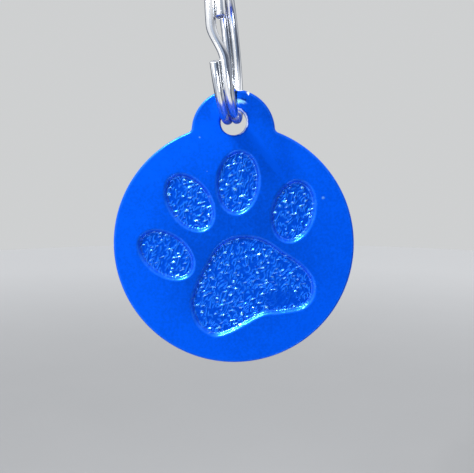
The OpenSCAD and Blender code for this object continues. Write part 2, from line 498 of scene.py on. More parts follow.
@dataclass(frozen=True)
class BlueCoat:
    """Satin blue coat on the metal: dimpled like orange peel, and glossier on the sunk print's wrinkles.

    The mesh holds the masks sunk (the print's walls and floor), crest and tip (its wrinkles and the tips of
    its grains), lip (the edges) and pool (the corner under the print's walls). The others are named here.

    Attributes:
        face: Colour of the face near its rim, lighter than in the middle as painted light.
        shaded_middle_share: Its colour in the middle, darkened as painted shade, as a share of that.
        middle_shade_fade: From what radius to what radius the painted shade of the middle gives way to the
            rim's colour, as the mask rim.
        shaded_ear: From what radius to what radius the ear is darkened again as painted shade, as the mask
            ear.
        cloud: Its broad unevenness.
        blotch: Its unevenness in small blotches.
        fleck: Its finest unevenness.
        tone_and_shade: How far the face goes from its middle colour to its rim colour, from 0 to 1: random
            tone, and painted shade and light.
        sunk: Colour of the print's floor.
        crest: Lighter colour on the floor's wrinkles, which paints part of the sheen that they catch.
        tip: Pale colour on the tips of its grains, a painted glint.
        pool_tip: How much of that colour the pooled coat has, a painted highlight in the corner under the
            walls.
        edge: Lighter colour on the edges of the print and the tag, painted light on the print's shaded walls
            and the tag's rim.
        edge_patch: Where the edges have the whole of it.
        edge_least: How much of it they have elsewhere.
        metal: Colour of the bare metal, whose mask is bare.
        rubbed: Colour of the coat where it is worn thin.
        smear_and_shadow: Colour of the dark line round the rub, and of the painted shadow that the ring's
            wire casts on the ear.
        grain: Wave and detail of the fine grain of the surface.
        dust: Wave and detail of its finest grain.
        peel: Wave and detail of the dimples.
        pebbles: Wave and detail of the fine pebbles on the print's floor.
        edge_pebbles: How much of their height the pebbles have on the edges.
        relief: Height of all of these.
        gloss: Where the face is less glossy.
        roughness: How rough the coat is.
        metallic: How much it shines like the metal under it.
        specular: Strength and tint of its own reflection.
        lacquer: How much clear lacquer lies over it.
        lacquer_roughness: How rough that is.
        lacquer_ior: Its index of refraction.
        chips: Where bare metal shows.
        specks: Where a speck of dust has left a pale spot.
        speck_share: How pale that is.
        ragged: How far the grain breaks the border of a worn place, as a share of its reach.
        rub: Where the ring has worn the coat thin.
        rub_r: Radius round the hole of the arc that the rub follows.
        rub_end: How far outside that arc it ends.
        rub_line: Where outside the arc the dark line round the rub starts, is dark, and ends.
        painted_wire_shadow: Where a dark strip beside the ring paints the shadow that its wire casts on the
            ear.
        painted_caustic: Where a faint pale streak from the hole down to the right paints the light that the
            ring reflects onto the face.
        bore: Middle, from the hole's centre, of the circle inside which the ring has worn the coat off.
        bore_r: Radius of that circle.
        bore_edge: How soft its border is.
        bore_ragged: How far the grain breaks that border.
        bore_smear: How far outside the circle its faint dark rim is dark, and ends.
        smear_share: How dark that rim is.
    """

    face: Colour = (0.0, 0.118, 0.98)
    shaded_middle_share: float = 0.64
    middle_shade_fade: tuple[float, float] = (5.0, 15.0)
    shaded_ear: tuple[float, float] = (15.5, 18.0)
    cloud: Mottle = Mottle(6.0, 3.0, 0.35, 0.65)
    blotch: Mottle = Mottle(0.8, 3.0, 0.52, 0.72)
    fleck: Mottle = Mottle(0.35, 2.0, 0.3, 0.7)
    # Random tone (cloud, blotch, fleck), painted shade (rim, ear) and a painted caustic (trace).
    tone_and_shade: Blend = Blend(
        -0.1, {"rim": 0.72, "ear": -0.62, "cloud": 0.15, "fleck": 0.4, "painted_caustic": 0.75, "blotch": 0.2}
    )
    sunk: Colour = (0.0, 0.084, 0.74)
    crest: Colour = (0.012, 0.2, 1.0)
    tip: Colour = (0.25, 0.72, 1.0)
    pool_tip: float = 0.05
    edge: Colour = (0.012, 0.165, 1.0)
    edge_patch: Mottle = Mottle(0.7, 2.0, 0.35, 0.6)
    edge_least: float = 0.45
    metal: Colour = (0.8, 0.88, 0.96)
    rubbed: Colour = (0.28, 0.66, 0.95)
    smear_and_shadow: Colour = (0.002, 0.008, 0.045)
    grain: tuple[float, float] = (0.25, 3.0)
    dust: tuple[float, float] = (0.09, 1.0)
    peel: tuple[float, float] = (0.9, 1.0)
    pebbles: tuple[float, float] = (0.4, 1.0)
    edge_pebbles: float = 0.7
    relief: Blend = Blend(
        0.0, {"peel": 0.006, "grain": 0.0012, "dust": 0.0006, "pebbles": 0.03, "bare": -0.03}
    )
    gloss: Mottle = Mottle(1.6, 4.0, 0.3, 0.7)
    roughness: Blend = Blend(
        0.36, {"gloss": 0.06, "sunk": -0.08, "tip": -0.12, "lip": -0.12, "pool": -0.1, "bare": -0.1}
    )
    metallic: Blend = Blend(0.35, {"sunk": 0.1, "tip": 0.4, "pool": -0.15, "lip": -0.2, "bare": 0.1})
    specular: tuple[float, Colour] = (0.3, (0.08, 0.3, 1.0))
    lacquer: Blend = Blend(0.0, {"crest": 0.04, "tip": 0.28, "lip": 0.04, "pool": 0.07})
    lacquer_roughness: float = 0.11
    lacquer_ior: float = 1.9
    chips: tuple[Wear, ...] = (
        Wear((0.85, 20.3), (0.5, 0.12)),
        Wear((1.95, 20.05), (0.2, 0.34)),
    )
    specks: tuple[Wear, ...] = (
        Wear((-4.36, 14.25), (0.1, 0.1), fade=0.6),
        Wear((-3.43, 9.85), (0.06, 0.06), fade=0.6),
        Wear((11.8, 6.4), (0.16, 0.16), fade=0.6),
    )
    speck_share: float = 0.45
    ragged: float = 2.0
    rub: Wear = Wear((0.95, 18.9), (0.75, 0.32), fade=0.6)
    rub_r: float = 2.95
    rub_end: float = 0.15
    rub_line: tuple[float, float, float, float] = (0.05, 0.2, 0.3, 0.5)
    # Painted shadow of the ring's wire on the ear.
    painted_wire_shadow: Wear = Wear((0.36, 19.0), (0.16, 1.6))
    # A painted caustic of the ring.
    painted_caustic: Wear = Wear((4.28, 12.1), (3.7, 0.42), turn=-53.3, fade=0.7)
    bore: tuple[float, float] = (0.12, 0.05)
    bore_r: float = 1.79
    bore_edge: float = 0.06
    bore_ragged: float = 0.3
    bore_smear: tuple[float, float] = (0.12, 0.32)
    smear_share: float = 0.3

    def material(
        self, to_frame: Callable[[Array], Array], hole: Sequence[float], front: float
    ) -> bpy.types.Material:
        """Builds the coat.

        Args:
            to_frame: Turns a point of the tag's plane into metres of the row frame.
            hole: Centre of the ring's hole in the tag's plane.
            front: How high above that plane the tag's face lies.

        Returns:
            The material.
        """
        material, shader = new_material("blue_coat")
        grain = shader.grain(*self.grain)
        jitter = grain - NOISE_MIDDLE

        def around(place: Sequence[float]) -> Value:
            """Distance in the tag's plane from a point of it."""
            return shader.from_point(to_frame(np.array([*place, 0.0])).tolist(), (1, 0, 1))

        def worn(wear: Wear) -> Value:
            """1 where a mark lies on the front and 0 elsewhere, its border broken by the grain."""
            middle = to_frame(np.array([*wear.place, front]))
            reach = shader.from_point(middle.tolist(), (1 / wear.size[0], 1.0, 1 / wear.size[1]), wear.turn)
            return (reach + jitter * self.ragged).step(1 + wear.fade, 1 - wear.fade)

        from_middle = around((0, 0))
        from_bore = around(np.add(hole, self.bore)) + jitter * self.bore_ragged
        bore = from_bore.step(self.bore_r + self.bore_edge, self.bore_r - self.bore_edge)
        masks = {name: shader.mark(name) for name in ("sunk", "crest", "tip", "lip", "pool")}
        masks["lip"] *= self.edge_patch.mask(shader) * (1 - self.edge_least) + self.edge_least
        masks |= {name: getattr(self, name).mask(shader) for name in ("cloud", "blotch", "fleck", "gloss")}
        masks |= {
            # rim: painted shade of the face's middle, fading out towards the lighter rim.
            "rim": from_middle.step(*self.middle_shade_fade),
            # ear: painted shade that darkens the ear again.
            "ear": from_middle.step(*self.shaded_ear),
            # trace: painted caustic, the ring's reflected light as a pale streak.
            "painted_caustic": worn(self.painted_caustic),
            "bare": shader.largest(bore, *map(worn, self.chips)),
            "grain": grain,
            "dust": shader.grain(*self.dust),
            "peel": shader.grain(*self.peel),
            "pebbles": shader.grain(*self.pebbles) * (masks["sunk"] + masks["lip"] * self.edge_pebbles),
        }
        shader.finish(
            {
                "Base Color": self.colour(shader, masks, around(hole) - self.rub_r, worn, from_bore),
                "Roughness": self.roughness.over(masks),
                "Metallic": self.metallic.over(masks),
                "Specular IOR Level": self.specular[0],
                "Specular Tint": (*self.specular[1], 1.0),
                "Coat Weight": self.lacquer.over(masks),
                "Coat Roughness": self.lacquer_roughness,
                "Coat IOR": self.lacquer_ior,
                "Normal": shader.bump(self.relief.over(masks)),
            }
        )
        return material

    def colour(
        self,
        shader: Shader,
        masks: dict[str, Value],
        off_arc: Value,
        worn: Callable[[Wear], Value],
        from_bore: Value,
    ) -> Value:
        """Lays the colours over each other.

        Args:
            shader: The material's nodes.
            masks: The coat's masks.
            off_arc: How far outside the rub's arc the surface lies.
            worn: Makes the mask of a worn place.
            from_bore: Distance from the middle of the worn bore.

        Returns:
            The colour.
        """
        rub = worn(self.rub)
        start, dark, fading, end = self.rub_line
        rim_dark, rim_end = (self.bore_r + width for width in self.bore_smear)
        layers = [
            (masks["sunk"], self.sunk),
            # Painted light on the print's walls and the tag's rim.
            (masks["lip"], self.edge),
            # Partly painted sheen: the wrinkles' crests lighter.
            (masks["crest"], self.crest),
            # Painted glints on the grains' tips, and a faint painted highlight in the pooled corner.
            (masks["tip"] * masks["tip"] + masks["pool"] * self.pool_tip, self.tip),
            (rub * off_arc.step(start, dark) * off_arc.step(end, fading), self.smear_and_shadow),
            (rub * off_arc.step(self.rub_end, 0.0), self.rubbed),
            # Painted shadow of the ring's wire on the ear beside it.
            (worn(self.painted_wire_shadow), self.smear_and_shadow),
            (shader.largest(*map(worn, self.specks)) * self.speck_share, self.rubbed),
            (from_bore.step(rim_end, rim_dark) * self.smear_share, self.smear_and_shadow),
            (masks["bare"], self.metal),
        ]
        # The face goes from its darker middle colour to its rim colour by random tone and by painted shade
        # and light.
        middle = tuple(self.shaded_middle_share * c for c in self.face)
        colour = shader.mix(self.tone_and_shade.over(masks), middle, self.face)
        for mask, layer in layers:
            colour = shader.mix(mask, colour, layer)
        return colour


@dataclass(frozen=True)
class RingSteel:
    """Bright plated spring steel, drawn and lightly scuffed along the wire.

    Attributes:
        bright: Colour of the plating.
        dull: Colour in the drawing lines.
        tarnish: Colour of the long streaks of tarnish.
        tarnish_share: How strong that is.
        cut: Colour of the bare steel of the cut ends, whose mask is sawn.
        cut_share: How strong that is.
        cut_full: From what height of the mesh's mark that mask is full.
        paint_and_reflection: Colour of the wire where it lies in the hole: coat rubbed off on it, and a
            painted reflection of the blue tag.
        transfer_r: How far from the hole's centre that reaches.
        transfer_fade: Over how much of that it fades.
        transfer_ragged: How far the stain breaks its border.
        transfer_share: How strong it is.
        line_detail: How many finer waves the noises along the wire have.
        line_size: Width and length of the drawing lines.
        line_band: From what to what level of their noise they dull the colour.
        scuff_size: Width and length of the scuffs.
        scuff_band: From what to what level of their noise they show.
        streak_size: Width and length of the streaks of tarnish.
        streak_band: From what to what level of their noise they show.
        stain: Where the plating is faintly stained.
        dullness: How dull the colour is.
        roughness: How rough the wire is.
        metallic: How much it shines like metal.
        relief: Height of the lines and scuffs.
    """

    bright: Colour = (0.9, 0.91, 0.92)
    dull: Colour = (0.6, 0.62, 0.65)
    tarnish: Colour = (0.2, 0.25, 0.34)
    tarnish_share: float = 0.75
    cut: Colour = (0.16, 0.17, 0.2)
    cut_share: float = 0.8
    cut_full: float = 0.5
    paint_and_reflection: Colour = (0.0, 0.14, 0.85)
    transfer_r: float = 3.5
    transfer_fade: float = 1.2
    transfer_ragged: float = 0.3
    transfer_share: float = 0.95
    line_detail: float = 3.0
    line_size: tuple[float, float] = (0.07, 6.0)
    line_band: tuple[float, float] = (0.4, 0.7)
    scuff_size: tuple[float, float] = (0.05, 0.5)
    scuff_band: tuple[float, float] = (0.62, 0.7)
    streak_size: tuple[float, float] = (0.22, 9.0)
    streak_band: tuple[float, float] = (0.5, 0.6)
    stain: Mottle = Mottle(2.2, 3.0, 0.45, 0.7)
    dullness: Blend = Blend(0.0, {"lines": 0.5, "stain": 0.2, "sawn": 1.0})
    roughness: Blend = Blend(
        0.12, {"drawing": 0.08, "scuffs": 0.16, "stain": 0.05, "sawn": 0.4, "rubbed": 0.35}
    )
    metallic: Blend = Blend(1.0, {"sawn": -0.6, "rubbed": -0.5})
    relief: Blend = Blend(0.0, {"drawing": 0.0015, "scuffs": -0.003})

    def material(self, hole: Sequence[float]) -> bpy.types.Material:
        """Builds the plating, its lines following the wire by the piece's own map.

        Args:
            hole: Middle of the tag's hole, in metres of the row frame.

        Returns:
            The material.
        """
        material, shader = new_material("ring_steel")
        uv = Value(shader, shader.node("ShaderNodeUVMap", {"uv_map": "wire"}).outputs["UV"])
        drawing, scuffs, streaks = (
            shader.noise(uv, (length, width, 1.0), self.line_detail)
            for width, length in (self.line_size, self.scuff_size, self.streak_size)
        )
        stain = self.stain.mask(shader)
        in_hole = shader.from_point(hole) + stain * self.transfer_ragged
        stain_end = self.transfer_r - self.transfer_fade
        masks = {
            "drawing": drawing,
            "lines": drawing.step(*self.line_band),
            "scuffs": scuffs.step(*self.scuff_band),
            "stain": stain,
            "sawn": shader.mark("end").step(0.0, self.cut_full),
            "rubbed": in_hole.step(self.transfer_r, stain_end) * self.transfer_share,
        }
        colour = shader.mix(self.dullness.over(masks), self.bright, self.dull)
        colour = shader.mix(streaks.step(*self.streak_band) * self.tarnish_share, colour, self.tarnish)
        colour = shader.mix(masks["sawn"] * self.cut_share, colour, self.cut)
        shader.finish(
            {
                # Blue in the hole: rubbed-off coat and a painted reflection of the tag.
                "Base Color": shader.mix(masks["rubbed"], colour, self.paint_and_reflection),
                "Roughness": self.roughness.over(masks),
                "Metallic": self.metallic.over(masks),
                "Normal": shader.bump(self.relief.over(masks)),
            }
        )
        return material


# The tag


@dataclass
class PawPrint:
    """The five sunk shapes of the print, as shares of the radius of the circle that the print fills.

    Attributes:
        radius: That radius.
        depth: Depth of the floor below the face.
        wall_run: How far the wall reaches inside the outline.
        lip_run: How far its soft lip reaches outside the outline.
        pool_share: How far the coat pooled in the corner under the wall reaches over the floor, as a
            share of the run of lip and wall.
        pool_place: Middle of the mark of that pool, as such a share.
        pool_spread: Half the width of the mark of that pool, as such a share.
        wall_steps: Points down the wall.
        toe_cells: Cells along a side of a toe's floor.
        pad_cells: Cells along a side of the pad's floor.
        toe_l_share: Length of a toe.
        toe_w_share: Width of a toe.
        toe_place_shares: Each toe's centre and the direction of its length in degrees.
        pad_shares: Points of the pad, counterclockwise from below its left lobe.
    """

    radius: float
    depth: float = 0.55
    wall_run: float = 0.4
    lip_run: float = 0.2
    pool_share: float = 0.25
    pool_place: float = 1.02
    pool_spread: float = 0.17
    wall_steps: int = 12
    toe_cells: int = 84
    pad_cells: int = 164
    toe_l_share: float = 0.64
    toe_w_share: float = 0.4375
    toe_place_shares: tuple[tuple[float, float, float], ...] = (
        (-0.675, -0.095, 144),
        (-0.435, 0.43, 124),
        (0.045, 0.63, 84),
        (0.595, 0.345, 76),
    )
    pad_shares: tuple[tuple[float, float], ...] = (
        (-0.365, -0.82), (-0.205, -0.93), (-0.035, -0.895), (0.14, -0.8), (0.31, -0.71), (0.51, -0.685),
        (0.715, -0.635), (0.815, -0.505), (0.805, -0.335), (0.685, -0.18), (0.505, -0.06), (0.315, 0.065),
        (0.135, 0.105), (-0.035, 0.08), (-0.175, -0.02), (-0.295, -0.22), (-0.395, -0.43), (-0.435, -0.615),
    )

    def toe(self, place: tuple[float, float, float]) -> Callable[[Array], Array]:
        """Outline of one toe: an ellipse, turned and moved to its place.

        Args:
            place: The toe's centre as shares of the radius, and its direction.

        Returns:
            A function from turns, 0 to 1, to points.
        """
        across, up, turn = place
        middle = self.radius * np.array([across, up])
        half = self.radius * np.array([self.toe_l_share, self.toe_w_share]) / 2
        cos, sin = math.cos(math.radians(turn)), math.sin(math.radians(turn))

        def outline(turns: Array) -> Array:
            """Centre + turned (half length * cos, half width * sin)."""
            a = 2 * np.pi * turns
            u, v = half[0] * np.cos(a), half[1] * np.sin(a)
            return middle + np.stack([u * cos - v * sin, u * sin + v * cos], axis=-1)

        return outline

    def pad(self, turns: Array) -> Array:
        """Outline of the pad: a cubic through its points, with each point's slope from its neighbours."""
        points = self.radius * np.array(self.pad_shares)
        along = np.mod(turns, 1) * len(points)
        start = np.floor(along).astype(int)
        t = (along - start)[..., None]
        a, b, c, d = (points[(start + step) % len(points)] for step in (-1, 0, 1, 2))
        cube, square = 3 * b - 3 * c + d - a, 2 * a - 5 * b + 4 * c - d
        return (2 * b + (c - a) * t + square * t**2 + cube * t**3) / 2

    def shapes(self) -> list[tuple[Callable[[Array], Array], int]]:
        """The outline of each toe and of the pad, and its floor's cells."""
        toes = [(self.toe(place), self.toe_cells) for place in self.toe_place_shares]
        return [*toes, (self.pad, self.pad_cells)]

    @property
    def end(self) -> float:
        """Where the pooled coat ends on the floor, as a share of the run of lip and wall."""
        return 1 + self.pool_share

    def inwards(self, shares: Array | float) -> Array | float:
        """How far inside the outline a share of the run of lip and wall lies."""
        return shares * (self.lip_run + self.wall_run) - self.lip_run

    def profile(self) -> tuple[Array, Array, Array, Array]:
        """How the wall falls, and how it is marked, at shares s of the run of lip and wall.

        The wall falls along the parabola s^2. Where the coat has pooled in the corner it
        levels out along 1 - k (e - s)^2, e = 1 + pool_share. Both have the same depth and slope at
        s = 1 / e if k = 1 / (e^2 - 1).

        Returns:
            The shares, and three columns that have one more row, a first one of 0 for the level face: how
            deep the wall lies as a share of the floor's depth, the mark of the lip, sin^2(180 s), and the
            mark of the pool, a bell curve round pool_place.
        """
        shares = np.linspace(0, self.end, self.wall_steps + 1)[:-1, None]
        pooled = 1 - (self.end - shares) ** 2 / (self.end**2 - 1)
        fall = np.where(shares < 1 / self.end, shares**2, pooled)
        lip = np.sin(np.pi * np.minimum(shares, 1)) ** 2
        pool = np.exp(-(((shares - self.pool_place) / self.pool_spread) ** 2))
        level = [[0.0]]
        return shares, *(np.vstack([level, column]) for column in (fall, lip, pool))


@dataclass
class Wrinkles:
    """The worm-like wrinkles and grains of the coat on the print's floor.

    A wrinkle runs along each line where a noise is 0. Its section is a bell curve of the distance from that
    line, and a second noise breaks it into short lengths. Grains are the peaks of a third noise, drawn out
    sideways.

    Attributes:
        height: Height of a wrinkle.
        width: Half its width, where the bell curve has fallen to 1 / e.
        wave: Size of the noise's cells across the wrinkles.
        stretch: How many times longer they are along the wrinkles.
        lean: Direction of the wrinkles in degrees.
        bend: How far the lines are bent to and fro, in cells.
        bend_wave: Size of the bends.
        break_wave: Size of the cells of the noise that breaks the wrinkles.
        grain: Height of the grains.
        grain_wave: Size of their cells.
        grain_stretch: How many times longer they are along their own direction.
        grain_lean: That direction in degrees.
        grain_start: Level of the noise above which a grain starts.
        grain_rise: How much higher the noise is at its top.
        slope_step: How far off the samples for the slope of the wrinkles' noise lie.
        slope_least: The least slope that is reckoned with.
        break_level: How whole the wrinkles are where that noise is 0: 0 is gone and 1 whole.
        break_gain: How strongly the noise breaks them.
        bare_spot: Middle of the smoother spot in the pad.
        bare_size: How far that spot reaches along u and v.
        bare_share: Share of the wrinkles' height that is left in it.
    """

    height: float = 0.075
    width: float = 0.12
    wave: float = 0.45
    stretch: float = 2.0
    lean: float = 66.0
    bend: float = 0.4
    bend_wave: float = 1.3
    break_wave: float = 0.65
    grain: float = 0.12
    grain_wave: float = 0.27
    grain_stretch: float = 3.2
    grain_lean: float = 15.0
    grain_start: float = 0.34
    grain_rise: float = 0.36
    slope_step: float = 0.02
    slope_least: float = 0.5
    break_level: float = 0.65
    break_gain: float = 1.5
    bare_spot: tuple[float, float] = (6.4, -7.3)
    bare_size: tuple[float, float] = (3.2, 1.5)
    bare_share: float = 0.25

    @staticmethod
    def turned(u: Array, v: Array, lean: float) -> tuple[Array, Array]:
        """How far places lie along a direction in degrees, and how far across it."""
        cos, sin = math.cos(math.radians(lean)), math.sin(math.radians(lean))
        return u * cos + v * sin, v * cos - u * sin

    def grains(self, u: Array, v: Array) -> Array:
        """How much of a grain each place is: the tops of a noise drawn out along the grains' direction."""
        along, across = self.turned(u, v, self.grain_lean)
        length = self.grain_wave * self.grain_stretch
        noise = GradientNoise(Seed.GRAINS).at(along / length, across / self.grain_wave)
        return half_wave((noise - self.grain_start) / self.grain_rise)

    def lines(self, u: Array, v: Array) -> Array:
        """Noise whose lines of 0 the wrinkles follow: bent, turned and drawn out along them."""
        along, across = self.turned(u, v, self.lean)
        bend = GradientNoise(Seed.BENDS).at(u / self.bend_wave, v / self.bend_wave) * self.bend
        length = self.wave * self.stretch
        return GradientNoise(Seed.LINES).at(along / length + bend, across / self.wave - bend)

    def at(self, points: Array) -> tuple[Array, Array, Array]:
        """Height of the floor, and how much of a wrinkle's crest and of a grain's tip each place is.

        The distance from a line is the noise over the length of its slope, which is taken from two more
        samples a short step away.

        Args:
            points: Places in the tag's plane.

        Returns:
            The heights in millimetres, and the crests and tips from 0 to 1.
        """
        u, v = points[..., 0], points[..., 1]
        level, step = self.lines(u, v), self.slope_step
        slope = np.hypot(self.lines(u + step, v) - level, self.lines(u, v + step) - level) / step
        away = level / np.maximum(slope, self.slope_least)
        noise = GradientNoise(Seed.BREAKS).at(u / self.break_wave, v / self.break_wave)
        whole = half_wave(self.break_level + self.break_gain * noise)
        crest = np.exp(-((away / self.width) ** 2)) * whole
        grains = self.grains(u, v)
        (spot_u, spot_v), (size_u, size_v) = self.bare_spot, self.bare_size
        spot = np.hypot((u - spot_u) / size_u, (v - spot_v) / size_v)
        rough = self.bare_share + (1 - self.bare_share) * half_wave(2 * spot - 1)
        return (self.height * crest + self.grain * grains) * rough, crest * rough, grains * rough**2


@dataclass
class TagBlank:
    """The tag's one piece of coated metal: disc, ear, hole and print.

    Attributes:
        node: The CAD node that it stands for.
        body: The CAD body that it rides on.
        tag_d: Diameter of the disc.
        tag_t: Thickness.
        edge_r: Radius of the rounding along the outer edges.
        ear_d: Diameter of the ear.
        ear_sink: How far the ear's centre lies inside the disc's edge.
        neck_r: Radius of the fillet where the ear leaves the disc.
        hole_d: Diameter of the hole.
        hole_rise: Height of the hole's centre above the ear's.
        mouth_r: Radius of the rounding at both mouths of the hole.
        paw_rim: Rim left between the print and the disc's edge.
        guard: Width of the level band round each edge, which keeps the flat faces' shading flat.
        tag_steps: Points along the disc's part of the outline.
        ear_steps: Points along the ear's part.
        neck_steps: Points along a neck.
        round_steps: Points down a rounded edge.
        edge_mark: How strongly the outer edge is marked as an edge, which also sets how much painted light
            its edge colour gives it.
        wrinkles: What the print's floor is covered with.
        coat: The finish.
    """

    node: str = "tag_blank"
    body: str = "tag"
    tag_d: float = 32.0
    tag_t: float = 2.0
    edge_r: float = 0.3
    ear_d: float = 10.9
    ear_sink: float = 1.0
    neck_r: float = 0.7
    hole_d: float = 3.4
    hole_rise: float = 1.25
    mouth_r: float = 0.2
    paw_rim: float = 2.7
    guard: float = 0.08
    tag_steps: int = 320
    ear_steps: int = 108
    neck_steps: int = 12
    round_steps: int = 7
    edge_mark: float = 0.5
    wrinkles: Wrinkles = field(default_factory=Wrinkles)
    coat: BlueCoat = field(default_factory=BlueCoat)

    def __post_init__(self) -> None:
        """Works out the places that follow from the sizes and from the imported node."""
        self.tag_r = self.tag_d / 2
        self.ear_r = self.ear_d / 2
        self.ear_rise = self.tag_r - self.ear_sink
        self.hole = (0.0, self.ear_rise + self.hole_rise)
        self.print = PawPrint(radius=self.tag_r - self.paw_rim)
        low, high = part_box(self.node)
        self.middle = np.array([(low.x + high.x) / 2, (low.y + high.y) / 2, low.z + self.tag_r * MM])

    def to_frame(self, points: Array) -> Array:
        """Points of the tag's u, v, w in millimetres as metres of the row frame, along X, Z and -Y."""
        return self.middle + MM * np.stack([points[..., 0], -points[..., 2], points[..., 1]], axis=-1)

    def outline(self, inwards: float) -> Array:
        """Counterclockwise outline of the disc, necks and ear, moved inwards.

        The neck's fillet touches the disc and the ear, so its centre is known from its distances to both
        centres. Each arc ends where its normal meets the next arc's.

        Args:
            inwards: How far the outline is moved.

        Returns:
            Its points.
        """
        to_tag, to_ear = self.tag_r + self.neck_r, self.ear_r + self.neck_r
        neck_v = (to_tag**2 - to_ear**2 + self.ear_rise**2) / (2 * self.ear_rise)
        neck_u = math.sqrt(to_tag**2 - neck_v**2)
        tag_a = math.degrees(math.atan2(neck_v, neck_u))
        ear_a = math.degrees(math.atan2(neck_v - self.ear_rise, neck_u))
        fillet_r = self.neck_r + inwards
        return np.concatenate(
            [
                arc((0, 0), self.tag_r - inwards, 180 - tag_a, 360 + tag_a, self.tag_steps),
                arc((neck_u, neck_v), fillet_r, 180 + tag_a, 180 + ear_a, self.neck_steps),
                arc((0, self.ear_rise), self.ear_r - inwards, ear_a, 180 - ear_a, self.ear_steps),
                arc((-neck_u, neck_v), fillet_r, -ear_a, -tag_a, self.neck_steps),
            ]
        )

    def rounding(self, radius: float) -> list[tuple[float, float]]:
        """Section of a rounded edge from the flat face down to the wall: a quarter of a circle.

        Args:
            radius: Its radius r.

        Returns:
            For angles a from 0 to 90 degrees, how far from the wall in the metal, r (1 - sin a), and how
            far below the face, r (1 - cos a).
        """
        turns = np.radians(np.linspace(0, 90, self.round_steps))
        return [(radius * (1 - math.sin(a)), radius * (1 - math.cos(a))) for a in turns]

    @staticmethod
    def stacked(loops: Sequence[Array], heights: Sequence[float]) -> Array:
        """Grid of points whose rows are flat loops, each at its own w."""
        return np.array([np.column_stack([loop, np.full(len(loop), w)]) for loop, w in zip(loops, heights)])

    def add_edge(self, surface: Surface) -> dict[Face, Array]:
        """Adds the outer edge: the outline carried round from the back face to the front.

        Args:
            surface: The mesh.

        Returns:
            The border that it leaves on each face.
        """
        corner, half = self.rounding(self.edge_r), self.tag_t / 2
        back = [(self.edge_r + self.guard, -half), *((i, down - half) for i, down in corner)]
        front = [(i, half - down) for i, down in reversed(corner)]
        profile = [*back, (0.0, 0.0), *front, (self.edge_r + self.guard, half)]
        inwards, heights = zip(*profile)
        lip = np.full((len(profile), 1), self.edge_mark)
        lip[[0, -1]] = 0
        grid = surface.add(self.stacked([self.outline(i) for i in inwards], heights), lip=lip)
        surface.skin(grid)
        return {Face.FRONT: grid[-1], Face.BACK: grid[0]}

    def add_hole(self, surface: Surface) -> dict[Face, Array]:
        """Adds the hole: a circle carried from the front mouth's rounding through to the back's.

        Args:
            surface: The mesh.

        Returns:
            The border that it leaves on each face.
        """
        hole_r, half = self.hole_d / 2, self.tag_t / 2
        mouth = [(hole_r + out, half - down) for out, down in self.rounding(self.mouth_r)]
        front = [(hole_r + self.mouth_r + self.guard, half), *mouth]
        radii, heights = zip(*front, *((r, -w) for r, w in reversed(front)))
        loops = [arc(self.hole, r, 0, 360, CIRCLE_STEPS) for r in radii]
        grid = surface.add(self.stacked(loops, heights))
        surface.skin(grid)
        return {Face.FRONT: grid[0], Face.BACK: grid[-1]}

    def add_pocket(self, surface: Surface, outline: Callable[[Array], Array], cells: int) -> Array:
        """Adds one sunk shape of the print: its wall and its wrinkled floor.

        The wall is the outline moved inwards along its normals. The floor is a square grid (s, t) bent
        into a round one, x = s sqrt(1 - t^2 / 2) and y = t sqrt(1 - s^2 / 2), whose rim is laid along the
        wall's foot and whose middle is the foot's mean.

        Args:
            surface: The mesh.
            outline: A function from turns, 0 to 1, to the outline's points.
            cells: How many cells the floor has along a side.

        Returns:
            The border that it leaves on the face.
        """
        side = np.linspace(-1, 1, cells + 1)
        s, t = np.meshgrid(side, side)
        x, y = s * np.sqrt(1 - t**2 / 2), t * np.sqrt(1 - s**2 / 2)
        turns = np.arctan2(y, x) / (2 * np.pi)
        foot = self.moved_in(outline, turns, self.print.inwards(self.print.end))
        rim = self.ring_of(np.arange(s.size).reshape(s.shape))
        middle = foot.reshape(-1, 2)[rim].mean(axis=0)
        floor = middle + np.hypot(x, y)[..., None] * (foot - middle)
        height, crest, tip = self.wrinkles.at(floor)
        face = self.tag_t / 2
        w = face - self.print.depth + height
        floor_grid = surface.add(np.dstack([floor, w]), sunk=1.0, crest=crest, tip=tip, lip=0.0)
        surface.skin(floor_grid, wrap=False)

        loop_turns = turns.reshape(-1)[rim]
        shares, fall, lip, pool = self.print.profile()
        inwards = [-self.print.lip_run - self.guard, *self.print.inwards(shares)]
        points = np.array([self.moved_in(outline, loop_turns, i) for i in inwards])
        height, crest, tip = self.wrinkles.at(points)
        w = face - self.print.depth * fall + fall**2 * height
        marks = {"sunk": fall, "crest": fall * crest, "tip": fall * tip, "lip": lip, "pool": pool}
        wall = surface.add(np.dstack([points, w]), **marks)
        surface.skin(np.concatenate([wall, floor_grid.reshape(-1)[rim][None]]))
        return wall[0]

    @staticmethod
    def moved_in(outline: Callable[[Array], Array], turns: Array, inwards: float) -> Array:
        """Points of a counterclockwise outline, each moved inwards along the normal there."""
        step = 1e-4
        along = outline(turns + step) - outline(turns - step)
        normal = np.stack([-along[..., 1], along[..., 0]], axis=-1)
        return outline(turns) + inwards * normal / np.linalg.norm(normal, axis=-1, keepdims=True)

    @staticmethod
    def ring_of(grid: Array) -> Array:
        """The outermost numbers of a square grid, counterclockwise from its first."""
        return np.concatenate([grid[0, :-1], grid[:-1, -1], grid[-1, :0:-1], grid[:0:-1, 0]])

    def build(self) -> bpy.types.Object:
        surface = Surface()
        edge = self.add_edge(surface)
        hole = self.add_hole(surface)
        pockets = [self.add_pocket(surface, outline, cells) for outline, cells in self.print.shapes()]
        surface.fill([edge[Face.FRONT], hole[Face.FRONT], *pockets], (0, 1), flip=False)
        surface.fill([edge[Face.BACK], hole[Face.BACK]], (0, 1), flip=True)
        piece = surface.make("coated_tag", self.to_frame)
        piece.data.materials.append(self.coat.material(self.to_frame, self.hole, self.tag_t / 2))
        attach(piece, self.body)
        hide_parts(self.node)
        return piece


# The ring


